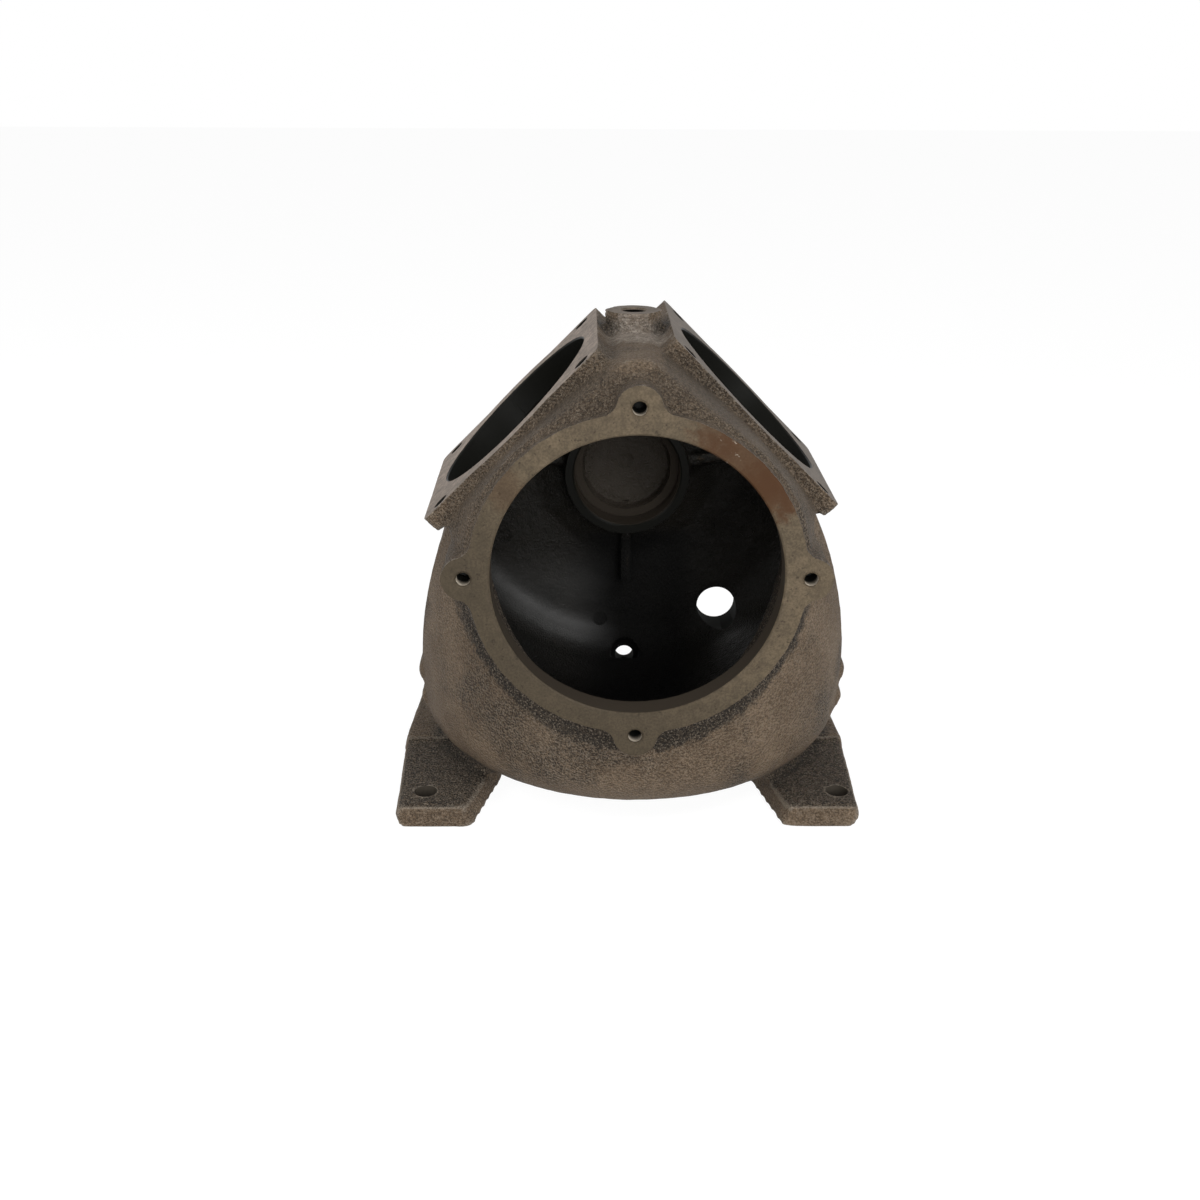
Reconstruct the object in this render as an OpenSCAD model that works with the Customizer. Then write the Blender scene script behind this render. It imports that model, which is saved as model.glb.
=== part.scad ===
// Crankcase of a belt-driven V-twin air compressor: one iron casting with a
// round front opening, two cylinder seats at 45 degrees, a bearing seat in the
// rear wall and a long foot on each side.
// X is across the case, Y runs back along the crank axis from the machined
// front face, Z is up. The origin is the middle of the front opening.

/* [Front flange] */
// Circle of the four tapped holes in the front flange
flange_pcd = 165; // [158:1:172]
// Bored opening in the front face
front_bore_d = 140; // [130:1:144]
// Depth of the bored register behind the front face
register_depth = 15; // [11:0.5:20]
// Outer diameter of the machined ring
ring_d = 162; // [156:1:168]
// Height of the ring above the wall behind it
ring_proud = 8; // [6:0.5:10]
// Radius of the lug round each flange hole
lug_r = 10.8; // [9:0.1:12.5]
// Fillet where a lug runs into the ring
lug_flare_r = 8; // [4:0.5:10]
// Chamfer on the edge of the front opening
bore_chamfer = 0.8; // [0.3:0.1:1.5]

/* [Tapped holes] */
// Drilled diameter of the tapped holes in the flange and the cylinder seats
tap_d = 6.8; // [5:0.1:8.4]
// Depth of those holes
tap_depth = 15; // [12:0.5:16]
// Outer diameter of the countersink of the holes in the cylinder seats
tap_sink_d = 9; // [8.6:0.1:10.5]

/* [Cylinder seats] */
// Distance of each seat from the crank axis
seat_height = 86.5; // [84:0.5:92]
// Bored opening for each cylinder
cylinder_bore_d = 100; // [90:1:104]
// Circle of the four tapped holes round each cylinder
cylinder_pcd = 138; // [134:0.5:141]
// Length of a seat down the slope
seat_length = 120; // [117:1:126]
// Width of a seat along the crank axis, at its corners
seat_width = 112; // [108:1:118]
// Diameter of the bulge of the seat round its bore
seat_bulge_d = 122; // [116:1:126]
// Corner radius of a seat
seat_corner_r = 4; // [2:0.5:8]
// Thickness of the seat flanges, square to the seat
seat_thick = 9.5; // [8:0.5:11]
// Overhang of a seat flange past the body at its lower end
seat_overhang = 8; // [5:0.5:10]
// Distance along the crank axis between the two cylinders
cylinder_stagger = 24.4; // [18:0.2:30]
// Distance of their common middle behind the front face
cylinders_mid_y = 99.4; // [96:0.2:104]

/* [Body] */
// Radius of the bowl's rounded front, seen from above
bowl_r = 120.5; // [117:0.5:124]
// Height of the bowl's widest place below the crank axis
bowl_wide_z = 85; // [75:1:95]
// Radius of the bulging side of the bowl, seen from the front
bowl_side_r = 200; // [170:5:260]
// Radius of the bowl's bottom edge
bowl_edge_r = 30; // [24:1:34]
// Depth of the bowl's underside below the crank axis
bowl_depth = 136; // [134:0.5:140]
// Gap from the front face to the front of the bowl
bowl_front_y = 8.5; // [7:0.5:12]
// Sideways shift of the cast bowl against the machined faces
bowl_shift = 1.7; // [0:0.1:2.5]
// Distance of the mould's parting plane behind the front face
parting_y = 97; // [90:1:104]
// Step between the two halves of the mould at the parting plane
mould_step = 0.6; // [0.4:0.1:1.2]
// Distance of the rear wall's outside behind the front face
rear_y = 207; // [203:1:214]
// Half width of the flat part of the rear wall
rear_flat_half = 78; // [70:1:84]
// Radius of the rounded underside where it meets the rear wall
rear_round_r = 130; // [126:1:134]
// Thickness of the cast walls
wall = 8.5; // [7:0.5:10]
// Radius of the crank chamber behind the front opening
chamber_r = 76; // [74:0.5:78]
// Height of the two beads on each side above the skin
bead_proud = 2.8; // [2:0.2:4]
// Depth of the upper bead below the crank axis
bead_z = 91; // [88:0.5:94]
// Distance between the two beads of one side
bead_pitch = 16; // [13:0.5:18]
// Length of a bead behind the parting plane
bead_length = 48; // [30:1:52]

/* [Bearing seat] */
// Outer diameter of the bearing boss inside the rear wall
bearing_boss_d = 73; // [70:0.5:78]
// Bore for the rear main bearing
bearing_bore_d = 62; // [58:0.5:64]
// Depth of the bearing bore
bearing_depth = 17; // [14:0.5:19]
// Opening left behind the bearing's shoulder
shoulder_bore_d = 52; // [44:0.5:56]
// Distance of the boss rim behind the front face
bearing_rim_y = 175; // [172:0.5:178]
// Depth of the cast recess behind the shoulder
recess_depth = 10; // [6:0.5:12]
// Thickness of the three webs that hold the boss
web_thick = 7; // [5:0.5:10]
// Depth of those webs in front of the rear wall
web_depth = 14; // [11:0.5:18]
// Reach of the lower web below the crank axis
lower_web_reach = 72; // [60:1:90]
// Radius of the flare of the boss at the rear wall
flare_r = 57; // [50:1:60]
// Tilt of the two side webs above the level
web_tilt = 8; // [0:1:15]

/* [Openings in the rear wall] */
// Drilled hole for the oil sight glass
sight_d = 24; // [20:0.5:27]
// Place of the sight glass, right of the crank axis
sight_x = 57; // [50:0.5:62]
// Depth of the sight glass below the crank axis
sight_z = 91.5; // [86:0.5:94]
// Radius of the boss round the sight glass
sight_boss_r = 19; // [17:0.5:21]
// Drilled hole for the oil drain
drain_d = 11.5; // [9:0.5:13]
// Depth of the drain below the crank axis
drain_z = 124.5; // [122:0.5:125]
// Radius of the pocket in the floor in front of the drain
drain_pocket_r = 9; // [7.5:0.5:9.5]
// Outer radius of the bulge round that pocket
drain_boss_r = 14; // [13:0.5:15]

/* [Filler boss] */
// Outer diameter of the filler and breather boss between the cylinders
filler_boss_d = 26.5; // [22:0.5:29]
// Drilled hole in that boss
filler_d = 11.8; // [9:0.2:14]
// Outer diameter of its countersink
filler_sink_d = 13.6; // [12:0.2:16]
// Height of the boss face above the crank axis
filler_z = 109.6; // [107:0.2:114]
// Height of the saddle between the two seats
saddle_z = 100.5; // [99:0.5:102]
// Distance of the saddle's front end behind the front face
saddle_front_y = 23; // [20:0.5:28]

/* [Feet] */
// Height of the crank axis above the ground
foot_base_z = 145; // [143:1:150]
// Thickness of the feet
foot_thick = 11.5; // [9:0.5:14]
// Width over both feet at the parting plane
feet_width = 250.4; // [246:0.2:256]
// Sideways shift of the cast feet against the machined holes
feet_shift = 2.4; // [0:0.2:3]
// Distance of the front ends of the feet behind the front face
foot_front_y = 18.5; // [15:0.5:24]
// Distance of the rear ends of the feet behind the front face
foot_rear_y = 175.5; // [170:0.5:184]
// Distance between the foot holes across the case
foot_hole_x = 218; // [212:1:222]
// Setback of each foot hole from the end of its foot
foot_hole_setback = 18.5; // [16:0.5:24]
// Diameter of the foot holes
foot_hole_d = 12; // [9:0.5:13.5]
// Half width of the gap between the feet at their ends
foot_gap_half = 80; // [76:1:84]
// Rounding of the corners of the feet
foot_corner_r = 4; // [2:0.5:8]
// Slope of the sides of the feet, over their thickness
foot_side_draft = 3; // [1:0.5:4]
// Step up in the top of each foot behind the parting plane
foot_step = 2; // [1:0.25:3]

/* [Hidden] */
$fn = 96;
cast_grey = [0.42, 0.39, 0.35];
cut = 1;
hull_fn = 40;

// The bowl's front is struck from an upright axis behind the parting plane.
bowl_axis_y = bowl_front_y + bowl_r;
// Half width of the bowl's rear half at the parting plane.
side_half = sqrt(pow(bowl_r, 2) - pow(bowl_axis_y - parting_y, 2)) + mould_step;
// Top of the bowl, inside the upper body.
bowl_top_z = 15;
// The underside of the rear half is this much wider at the parting plane than at
// the rear wall, outside and inside.
rear_spread = 46;
rear_spread_in = 20;
// Outline of the upper body just behind the ring, and at the rear wall.
neck_r = ring_d / 2 + 2.5;
rear_disc_r = 80;
rear_disc_edge = 12;
rear_wall_in_y = rear_y - wall;
left_y = cylinders_mid_y - cylinder_stagger / 2;
right_y = cylinders_mid_y + cylinder_stagger / 2;
// Ledge of a seat flange over the body under it.
seat_ledge = 0.4;
// Iron round the tapped holes under the lower end of a seat.
seat_lug_wall = 2.8;
// The pocket at the drain reaches this far in front of the rear wall.
drain_pocket_length = 14;
foot_end_taper = 3.6;
foot_waist = 12;
foot_waist_run = 50;
// Roots between the rear halves of the feet and the bowl.
foot_root_width = 17;
foot_root_height = 42;
foot_root_setback = 16;

// Radius of the bulging side of the bowl at height z, for a largest radius r.
function side_at(r, z) =
    r - bowl_side_r + sqrt(pow(bowl_side_r, 2) - pow(z + bowl_wide_z, 2));

// Upright half section of the bowl: floor, rounded edge and bulging side.
// inset moves it inwards by the thickness of the wall.
module bowl_section(r, inset) {
    edge = bowl_edge_r - inset;
    floor_z = -bowl_depth + inset;
    edge_x = side_at(r - inset, floor_z + edge) - edge;
    height = bowl_top_z - inset - floor_z;
    translate([0, floor_z]) square([edge_x, height]);
    translate([edge_x, floor_z + edge]) circle(edge);
    intersection() {
        translate([r - inset - bowl_side_r, -bowl_wide_z]) circle(bowl_side_r);
        translate([0, floor_z + edge]) square([r, height - edge]);
    }
}

// Turns a shape that points up Z so that it points back along Y.
module along_y(y) {
    translate([0, y, 0]) rotate([-90, 0, 0]) children();
}

// Front part of the bowl, up to the parting plane.
module bowl_front(inset) {
    intersection() {
        translate([0, bowl_axis_y, 0]) rotate_extrude() bowl_section(bowl_r, inset);
        translate([-200, -50, -200]) cube([400, 50 + parting_y, 400]);
    }
}

// Round trimming of the rear half about the crank axis: it tapers back from the
// parting plane and rolls over into the rear wall.
module rear_round(inset) {
    roll_y = rear_y - bowl_edge_r;
    roll_x = rear_round_r - bowl_edge_r;
    spread = inset > 0 ? rear_spread_in : rear_spread;
    rotate([-90, 0, 0]) rotate_extrude() {
        polygon([[0, parting_y - 10], [rear_round_r + spread - inset, parting_y - 10],
            [rear_round_r - inset, roll_y], [0, roll_y]]);
        translate([roll_x, roll_y]) circle(bowl_edge_r - inset);
        translate([0, roll_y - 5]) square([roll_x, bowl_edge_r - inset + 5]);
    }
}

// Plan of the rear half, with its rounded corners.
module rear_plan(inset) {
    plan_half = side_half + 3 - inset;
    corner_r = plan_half - rear_flat_half;
    centre_y = rear_y + 3 - inset - corner_r;
    translate([-plan_half, parting_y - 1]) square([2 * plan_half, centre_y - parting_y + 1]);
    translate([-rear_flat_half, parting_y - 1]) square([2 * rear_flat_half, rear_y + 5 - parting_y]);
    for (side = [-1, 1]) translate([side * rear_flat_half, centre_y]) circle(corner_r);
}

module bowl_rear(inset) {
    intersection() {
        translate([0, rear_y + 4, 0]) rotate([90, 0, 0]) linear_extrude(rear_y + 4 - parting_y) {
            bowl_section(side_half, inset);
            mirror([1, 0]) bowl_section(side_half, inset);
        }
        translate([0, 0, -200]) linear_extrude(400) rear_plan(inset);
        rear_round(inset);
    }
}

module bowl(inset) {
    bowl_front(inset);
    bowl_rear(inset);
}

// Puts a shape drawn in the XY plane on a cylinder seat: its X runs down the
// slope, its Y back along the crank axis, and its Z out of the seat.
module on_seat(side, y) {
    translate([0, y, 0]) mirror([side < 0 ? 1 : 0, 0, 0]) rotate([0, 45, 0])
        translate([0, 0, seat_height]) children();
}

// Outline of a seat: a rounded plate with a bulge round the bore.
module seat_outline() {
    offset(seat_corner_r)
        square([seat_length - 2 * seat_corner_r, seat_width - 2 * seat_corner_r], center = true);
    intersection() {
        circle(d = seat_bulge_d);
        square([seat_length - 2 * seat_corner_r, seat_bulge_d + 2], center = true);
    }
}

// Flange of a cylinder seat, a little thicker than its finished size.
module seat_flange(side, y) {
    on_seat(side, y) translate([0, 0, -seat_thick])
        linear_extrude(seat_thick + cut) seat_outline($fn = hull_fn);
}

// Block under a seat flange: it reaches into the flange, just inside its
// outline, and stops short of its lower end.
module seat_block(side, y, inset) {
    edge = inset + seat_ledge;
    depth = seat_thick + inset + 2;
    width = seat_width - 2 * edge;
    on_seat(side, y) translate([-seat_length / 2 + edge, -width / 2, -depth])
        cube([seat_length - seat_overhang - 2 * edge, width, 3]);
    on_seat(side, y) translate([0, 0, -depth])
        cylinder(d = seat_bulge_d - 2 * edge, h = 3, $fn = hull_fn);
}

// Lugs under the lower end of a seat flange, round its tapped holes.
module seat_lugs(side, y) {
    reach = cylinder_pcd / 2 * sqrt(0.5);
    for (b = [-1, 1]) on_seat(side, y) translate([reach, b * reach, -tap_depth])
        cylinder(r = tap_d / 2 + seat_lug_wall, h = tap_depth - seat_thick + 1);
}

// Upper body: the skin stretched over the neck of the flange, the two seats
// and the round of the rear wall. inset moves it inwards for the hollow.
module upper_body(inset) {
    front_y = inset > 0 ? register_depth - 1 : ring_proud;
    hull() {
        along_y(front_y) cylinder(r = inset > 0 ? chamber_r : neck_r, h = 3, $fn = hull_fn);
        along_y(rear_y - 0.5 - rear_disc_edge - inset)
            cylinder(r1 = rear_disc_r - inset, r2 = rear_disc_r - inset - rear_disc_edge,
                h = rear_disc_edge, $fn = hull_fn);
        seat_block(-1, left_y, inset);
        seat_block(1, right_y, inset);
        rear_shoulder(inset);
        if (inset == 0)
            translate([-3, saddle_front_y, saddle_z - 10]) cube([6, 100, 12]);
    }
}

// Slab at the top of the bowl's rear half, from which the upper body rises.
module rear_shoulder(inset) {
    half = side_at(side_half, bowl_top_z) - inset - 1;
    translate([bowl_shift - half, parting_y + 20, bowl_top_z - inset - 1.5])
        cube([2 * half, rear_y - inset - 1.5 - parting_y - 20, 1]);
}

// Machined ring with its four lugs, flared into the ring.
module flange() {
    along_y(0) linear_extrude(ring_proud + 4)
        offset(-lug_flare_r, $fn = hull_fn) offset(lug_flare_r, $fn = hull_fn) {
            circle(d = ring_d);
            for (a = [0 : 90 : 270]) rotate(a) translate([flange_pcd / 2, 0]) circle(lug_r, $fn = hull_fn);
        }
    for (a = [0 : 90 : 270]) along_y(ring_proud) rotate(a)
        translate([flange_pcd / 2, 0, 0]) cylinder(r = lug_r - 0.3, h = tap_depth + 15);
}

// Boss of the filler and breather, on the saddle between the seats.
module filler_boss() {
    translate([0, cylinders_mid_y, saddle_z - 12]) cylinder(d = filler_boss_d, h = filler_z - saddle_z + 12);
}

// Bosses outside the rear wall: bearing, sight glass and drain.
module rear_bosses() {
    along_y(rear_y - 20) cylinder(d = bearing_boss_d + 8, h = 25);
    translate([sight_x, 0, -sight_z]) along_y(rear_wall_in_y - 3) cylinder(r = sight_boss_r, h = wall + 6);
    translate([0, 0, -drain_z + 3]) along_y(rear_y - 40) cylinder(r = drain_boss_r, h = 43);
}

// How far the face of bead k stands from the middle of the bowl.
function bead_face(k) = side_at(side_half, -bead_z - k * bead_pitch) + bead_proud;

// Two level beads on each side of the bowl, running back from the parting plane
// and following the rounding of the rear half.
module beads() {
    root_x = side_half / 2;
    intersection() {
        for (side = [0, 1], k = [0, 1]) mirror([side, 0, 0])
            translate([0, parting_y + bead_length + 1, -bead_z - k * bead_pitch]) rotate([90, 0, 0])
                linear_extrude(bead_length) polygon([
                    [root_x, -6.5], [bead_face(k) - 2.5, -6.5], [bead_face(k) - 0.7, -3.6],
                    [bead_face(k), 0], [bead_face(k) - 0.7, 3.6], [bead_face(k) - 2.5, 6.5],
                    [root_x, 6.5]
                ]);
        rear_round(-bead_proud);
    }
}

// Cross section of the right foot, with its outer side at x = 0: a sloping
// side over a rounded lower edge.
module foot_section(height) {
    round_r = foot_corner_r + 2;
    polygon(concat([[-80, 0]],
        [for (a = [-90 : 22.5 : 0]) [round_r * (cos(a) - 1), round_r * (1 + sin(a))]],
        [[-foot_side_draft * (height - round_r) / height, height], [-80, height]]));
}

// Half of the right foot, from the parting plane to the front or rear end,
// where it is narrower. The front half reaches into the rear one.
module foot_half(end_y, height) {
    towards = end_y < parting_y ? -1 : 1;
    run = abs(end_y - parting_y);
    outer_x = feet_width / 2 - (towards < 0 ? mould_step : 0);
    start_y = parting_y + (towards < 0 ? 1 : 0);
    intersection() {
        translate([outer_x, parting_y, -foot_base_z])
            rotate([0, 0, towards * atan(foot_end_taper / run)])
            translate([0, run + 5, 0]) rotate([90, 0, 0])
            linear_extrude(2 * run + 10) foot_section(height);
        translate([0, 0, -foot_base_z - 1]) linear_extrude(height + 2) polygon([
            [foot_gap_half - foot_waist, start_y],
            [foot_gap_half - foot_waist, end_y - towards * foot_waist_run],
            [foot_gap_half, end_y], [feet_width, end_y], [feet_width, start_y]
        ]);
        // Sloping end of the foot
        translate([0, end_y, -foot_base_z]) rotate([90, 0, 90]) linear_extrude(feet_width)
            polygon([[0, -1], [0, 2], [-towards * foot_side_draft, height + 1],
                [-towards * (run + 2), height + 1], [-towards * (run + 2), -1]]);
    }
}

// Root that joins the rear half of a foot to the underside of the bowl.
module foot_root() {
    translate([foot_gap_half - 2, parting_y + 2, -foot_base_z + 3])
        cube([foot_root_width, foot_rear_y - foot_root_setback - parting_y - 2, foot_root_height]);
}

module foot() {
    foot_half(foot_front_y, foot_thick);
    foot_half(foot_rear_y, foot_thick + foot_step);
    foot_root();
}

module feet() {
    translate([-feet_shift, 0, 0]) for (side = [0, 1]) mirror([side, 0, 0]) foot();
}

// Space inside: crank chamber, sump and the two cylinder openings.
module hollow() {
    along_y(-cut) cylinder(d = front_bore_d, h = register_depth + 2 * cut);
    along_y(-cut) cylinder(d1 = front_bore_d + 2 * (bore_chamfer + cut), d2 = front_bore_d,
        h = bore_chamfer + cut);
    upper_body(wall);
    translate([bowl_shift, 0, 0]) bowl(wall);
    translate([0, 0, -drain_z + 3]) along_y(rear_wall_in_y - drain_pocket_length)
        cylinder(r = drain_pocket_r, h = drain_pocket_length);
    for (s = [-1, 1]) on_seat(s, s < 0 ? left_y : right_y) {
        translate([0, 0, -seat_thick - wall - 4])
            cylinder(d = cylinder_bore_d, h = seat_thick + wall + 4 + 2 * cut);
        translate([0, 0, -bore_chamfer]) cylinder(d1 = cylinder_bore_d,
            d2 = cylinder_bore_d + 2 * (bore_chamfer + 2 * cut), h = bore_chamfer + 2 * cut);
    }
}

// Bearing boss inside the rear wall, with its three webs.
module bearing_boss() {
    along_y(bearing_rim_y) cylinder(d = bearing_boss_d, h = rear_y - bearing_rim_y - 2);
    along_y(rear_wall_in_y - 9) cylinder(r1 = bearing_boss_d / 2 - 0.5, r2 = flare_r, h = 10);
    for (a = [web_tilt, 180 - web_tilt, 270]) {
        reach = a == 270 ? lower_web_reach : chamber_r + wall + 1;
        translate([0, rear_wall_in_y - web_depth, 0]) rotate([0, -a, 0])
            translate([bearing_boss_d / 2 - 4, 0, -web_thick / 2])
                cube([reach - bearing_boss_d / 2 + 4, web_depth + 3, web_thick]);
    }
}

module bearing_bores() {
    along_y(bearing_rim_y - cut) cylinder(d = bearing_bore_d, h = bearing_depth + cut);
    along_y(bearing_rim_y - cut) cylinder(d1 = bearing_bore_d + 2 * (1.2 + cut), d2 = bearing_bore_d,
        h = 1.2 + cut);
    along_y(bearing_rim_y + bearing_depth - cut) cylinder(d = shoulder_bore_d, h = recess_depth + cut);
}

// A tapped hole that starts at the XY plane and goes down.
module tapped_hole() {
    translate([0, 0, -tap_depth]) cylinder(d = tap_d, h = tap_depth + cut);
}

// Countersink at the mouth of a tapped hole.
module tap_sink() {
    sink = (tap_sink_d - tap_d) / 2;
    translate([0, 0, -sink]) cylinder(d1 = tap_d, d2 = tap_sink_d + 2 * cut, h = sink + cut);
}

module machining() {
    // Planes of the two cylinder seats
    for (s = [-1, 1]) on_seat(s, s < 0 ? left_y : right_y) {
        translate([-100, -100, 0]) cube([200, 200, 30]);
        for (a = [45 : 90 : 315]) rotate(a) translate([cylinder_pcd / 2, 0, 0]) {
            tapped_hole();
            tap_sink();
        }
    }
    // Tapped holes of the front flange
    for (a = [0 : 90 : 270]) rotate([90, 0, 0]) rotate(a)
        translate([flange_pcd / 2, 0, 0]) tapped_hole();
    // Foot holes
    for (x = [-1, 1], y = [foot_front_y + foot_hole_setback, foot_rear_y - foot_hole_setback])
        translate([x * foot_hole_x / 2, y, -foot_base_z - cut])
            cylinder(d = foot_hole_d, h = foot_thick + foot_step + 2 * cut);
    // Filler hole down into the chamber
    translate([0, cylinders_mid_y, chamber_r - 10]) cylinder(d = filler_d, h = filler_z - chamber_r + 10 + cut);
    translate([0, cylinders_mid_y, filler_z - 0.9]) cylinder(d1 = filler_d, d2 = filler_sink_d + 2,
        h = 0.9 + cut);
    // Sight glass and drain
    translate([sight_x, 0, -sight_z]) along_y(rear_y - 30) cylinder(d = sight_d, h = 40);
    translate([0, 0, -drain_z]) along_y(rear_wall_in_y - 4) cylinder(d = drain_d, h = wall + 10);
}

module crankcase() {
    color(cast_grey) difference() {
        union() {
            difference() {
                union() {
                    upper_body(0);
                    seat_flange(-1, left_y);
                    seat_flange(1, right_y);
                    seat_lugs(-1, left_y);
                    seat_lugs(1, right_y);
                    translate([bowl_shift, 0, 0]) {
                        bowl(0);
                        beads();
                    }
                    flange();
                    rear_bosses();
                    feet();
                }
                hollow();
                saddle_cut();
            }
            bearing_boss();
            filler_boss();
        }
        bearing_bores();
        machining();
    }
}

// Cuts the flat saddle between the upper ends of the two seats.
module saddle_cut() {
    top_half = (seat_length / 2 - seat_height) * -sqrt(0.5);
    top_z = (seat_length / 2 + seat_height) * sqrt(0.5);
    low_half = top_half - (top_z - saddle_z);
    translate([0, -cut, 0]) rotate([90, 0, 0]) mirror([0, 0, 1]) linear_extrude(rear_y + 20)
        polygon([[-low_half, saddle_z], [low_half, saddle_z], [low_half + 20, saddle_z + 20],
            [-low_half - 20, saddle_z + 20]]);
}

crankcase();
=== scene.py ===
"""Crankcase of a V-twin air compressor: one rough iron casting with machined
faces, bores and tapped holes, on a pale studio floor."""

import math

import bmesh
import bpy
from mathutils import Matrix, Vector, noise
from mathutils.bvhtree import BVHTree


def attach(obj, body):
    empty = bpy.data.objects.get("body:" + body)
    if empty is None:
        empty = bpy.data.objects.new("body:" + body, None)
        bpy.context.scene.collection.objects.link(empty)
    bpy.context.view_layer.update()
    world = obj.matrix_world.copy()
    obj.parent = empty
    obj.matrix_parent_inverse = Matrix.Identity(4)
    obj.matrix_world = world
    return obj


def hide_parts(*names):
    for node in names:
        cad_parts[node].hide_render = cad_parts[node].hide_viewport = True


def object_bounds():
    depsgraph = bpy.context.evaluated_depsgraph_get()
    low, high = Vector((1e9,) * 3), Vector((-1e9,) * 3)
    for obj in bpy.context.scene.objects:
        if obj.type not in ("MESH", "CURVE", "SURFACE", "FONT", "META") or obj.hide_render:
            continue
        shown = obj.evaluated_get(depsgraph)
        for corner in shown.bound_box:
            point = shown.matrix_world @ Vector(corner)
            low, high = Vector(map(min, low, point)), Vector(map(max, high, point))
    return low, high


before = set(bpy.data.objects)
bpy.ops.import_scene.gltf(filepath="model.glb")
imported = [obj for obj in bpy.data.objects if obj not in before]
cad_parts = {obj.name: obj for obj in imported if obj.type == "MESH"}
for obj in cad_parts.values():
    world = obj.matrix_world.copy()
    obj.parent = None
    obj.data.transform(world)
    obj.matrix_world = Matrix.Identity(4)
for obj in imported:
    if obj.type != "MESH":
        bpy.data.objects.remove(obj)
CAD_BOX = [list(corner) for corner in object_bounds()]

bl_info = {
    "name": "Compressor crankcase",
    "version": (1, 0, 0),
    "blender": (4, 5, 0),
    "location": "3D View > Sidebar > Crankcase",
    "description": "Builds a cast and machined compressor crankcase on its frame",
    "category": "Add Mesh",
}

SLOPE = math.sqrt(0.5)
LEFT_SEAT = Vector((-SLOPE, 0.0, SLOPE))
RIGHT_SEAT = Vector((SLOPE, 0.0, SLOPE))
BACK = Vector((0.0, 1.0, 0.0))
UP = Vector((0.0, 0.0, 1.0))

# Places of the casting in metres, with Y measured back from the machined front face
PARTING_Y = 0.097
REAR_WALL_Y = 0.1985
RECESS_Y = 0.192
FOOT_TOP_Z = -0.1335
FEET_MIDDLE_X = -0.0024
FOOT_HOLES = [Vector((x, y, -0.145)) for x in (-0.109, 0.109) for y in (0.037, 0.157)]
FILLER = Vector((0, 0.0994, 0.1096))
SIGHT_GLASS = Vector((0.057, 0.210, -0.0915))
DRAIN = Vector((0, 0.210, -0.1245))
BEARING = Vector((0, 0.175, 0))
# Round marks of the core pins on the inside of the rear wall
PIN_MARKS = [Vector((-0.0737, REAR_WALL_Y, -0.0454)), Vector((-0.0153, REAR_WALL_Y, -0.1002)),
             Vector((0.0744, REAR_WALL_Y, -0.0420))]
RECESS_MARK = Vector((0, 0.202, 0.0012))

# Radius and depth round a hole within which the points of the casting close it
TAP_REACH = (0.0047, 0.030)
THROUGH_REACH = (0.0062, 0.020)
FILLER_REACH = (0.0080, 0.040)
CLOSED_SHARE = 0.985
MOUTH_REACH = 0.001
# How near to a machined face or bore a point counts as a point of it
ON_FACE = 2e-5
ON_BORE = 0.0012

# Rays that find how far the iron hides a point
RAYS = 26
RAY_START = 0.0004
RAY_LENGTH = 0.25
CLOSE_REACH = 0.018
SHORT_EDGE = 0.0003

# Colours of the small marks and stains, and of painted light and shade: grain highlights, the
# highlight part of pale edges, the black middle of the rear wall, shaded iron, and the bores and
# holes
PAINTED_GRAIN_HIGHLIGHT = (0.275, 0.228, 0.178)
FLECK = (0.25, 0.205, 0.155)
RUBBED_AND_HIGHLIT = (0.26, 0.22, 0.175)
OCHRE = (0.17, 0.10, 0.045)
SCRAPED = (0.30, 0.26, 0.22)
RECESS_BROWN = (0.029, 0.0235, 0.0175)
PAINTED_SHADE_BLACK = (0.0005, 0.0005, 0.0004)
PAINTED_SHADE_IRON = (0.036, 0.029, 0.020)
CLOUDED = (0.045, 0.036, 0.025)
MOTTLED = (0.040, 0.032, 0.022)
SCRATCHED = (0.38, 0.34, 0.28)
REGISTER_BAND = (0.036, 0.029, 0.022)
BEARING_BORE = (0.026, 0.0210, 0.0160)
PAINTED_LIT_BORE = (0.070, 0.058, 0.044)
PAINTED_MOUTH_GLINT = (0.30, 0.26, 0.21)
FOOT_BORE = (0.045, 0.038, 0.030)

# Rust stains of the ring: centre, radius and strength
RING_RUST = (((0.050, 0, 0.057), 0.036, 0.75), ((0.062, 0, 0.045), 0.024, 0.85),
             ((0.036, 0, 0.069), 0.016, 0.5), ((-0.062, 0, 0.044), 0.014, 0.3))

# Lamps: name, place, the point it is aimed at, width and height, watts
LAMPS = (
    ("front", (0.30, -1.70, 0.45), (0, 0.05, 0), (1.0, 0.7), 23),
    ("left", (-1.35, -0.5, 0.9), (0, 0.1, 0), (0.7, 0.7), 13),
    ("right", (1.3, -1.0, 0.3), (0, 0.1, 0), (0.6, 0.6), 6.5),
    ("top", (-0.5, 0.2, 1.6), (0, 0.1, 0), (0.8, 0.8), 3),
    ("high", (0.62, -0.65, 1.10), (0, 0.1, 0), (0.40, 0.40), 8),
)
FLOOR_HALF = 6.0
FLOOR_GREY = (0.8, 0.8, 0.8)
FLOOR_WHITE_SHARE = 0.86
FLOOR_GLOW = 1.09
SKY_LIGHT = 0.30

# Camera: angles in radians, place in metres, focal length in pixels of a square picture
CAMERA_AZIMUTH = -0.011651516
CAMERA_ELEVATION = 0.374003493
CAMERA_ROLL = 0.004638836
CAMERA_PLACE = Vector((-0.0250800, -0.6369100, 0.2398200))
FOCAL_PIXELS = 1440.355
PICTURE_PIXELS = 1200
SENSOR_MM = 36


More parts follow.
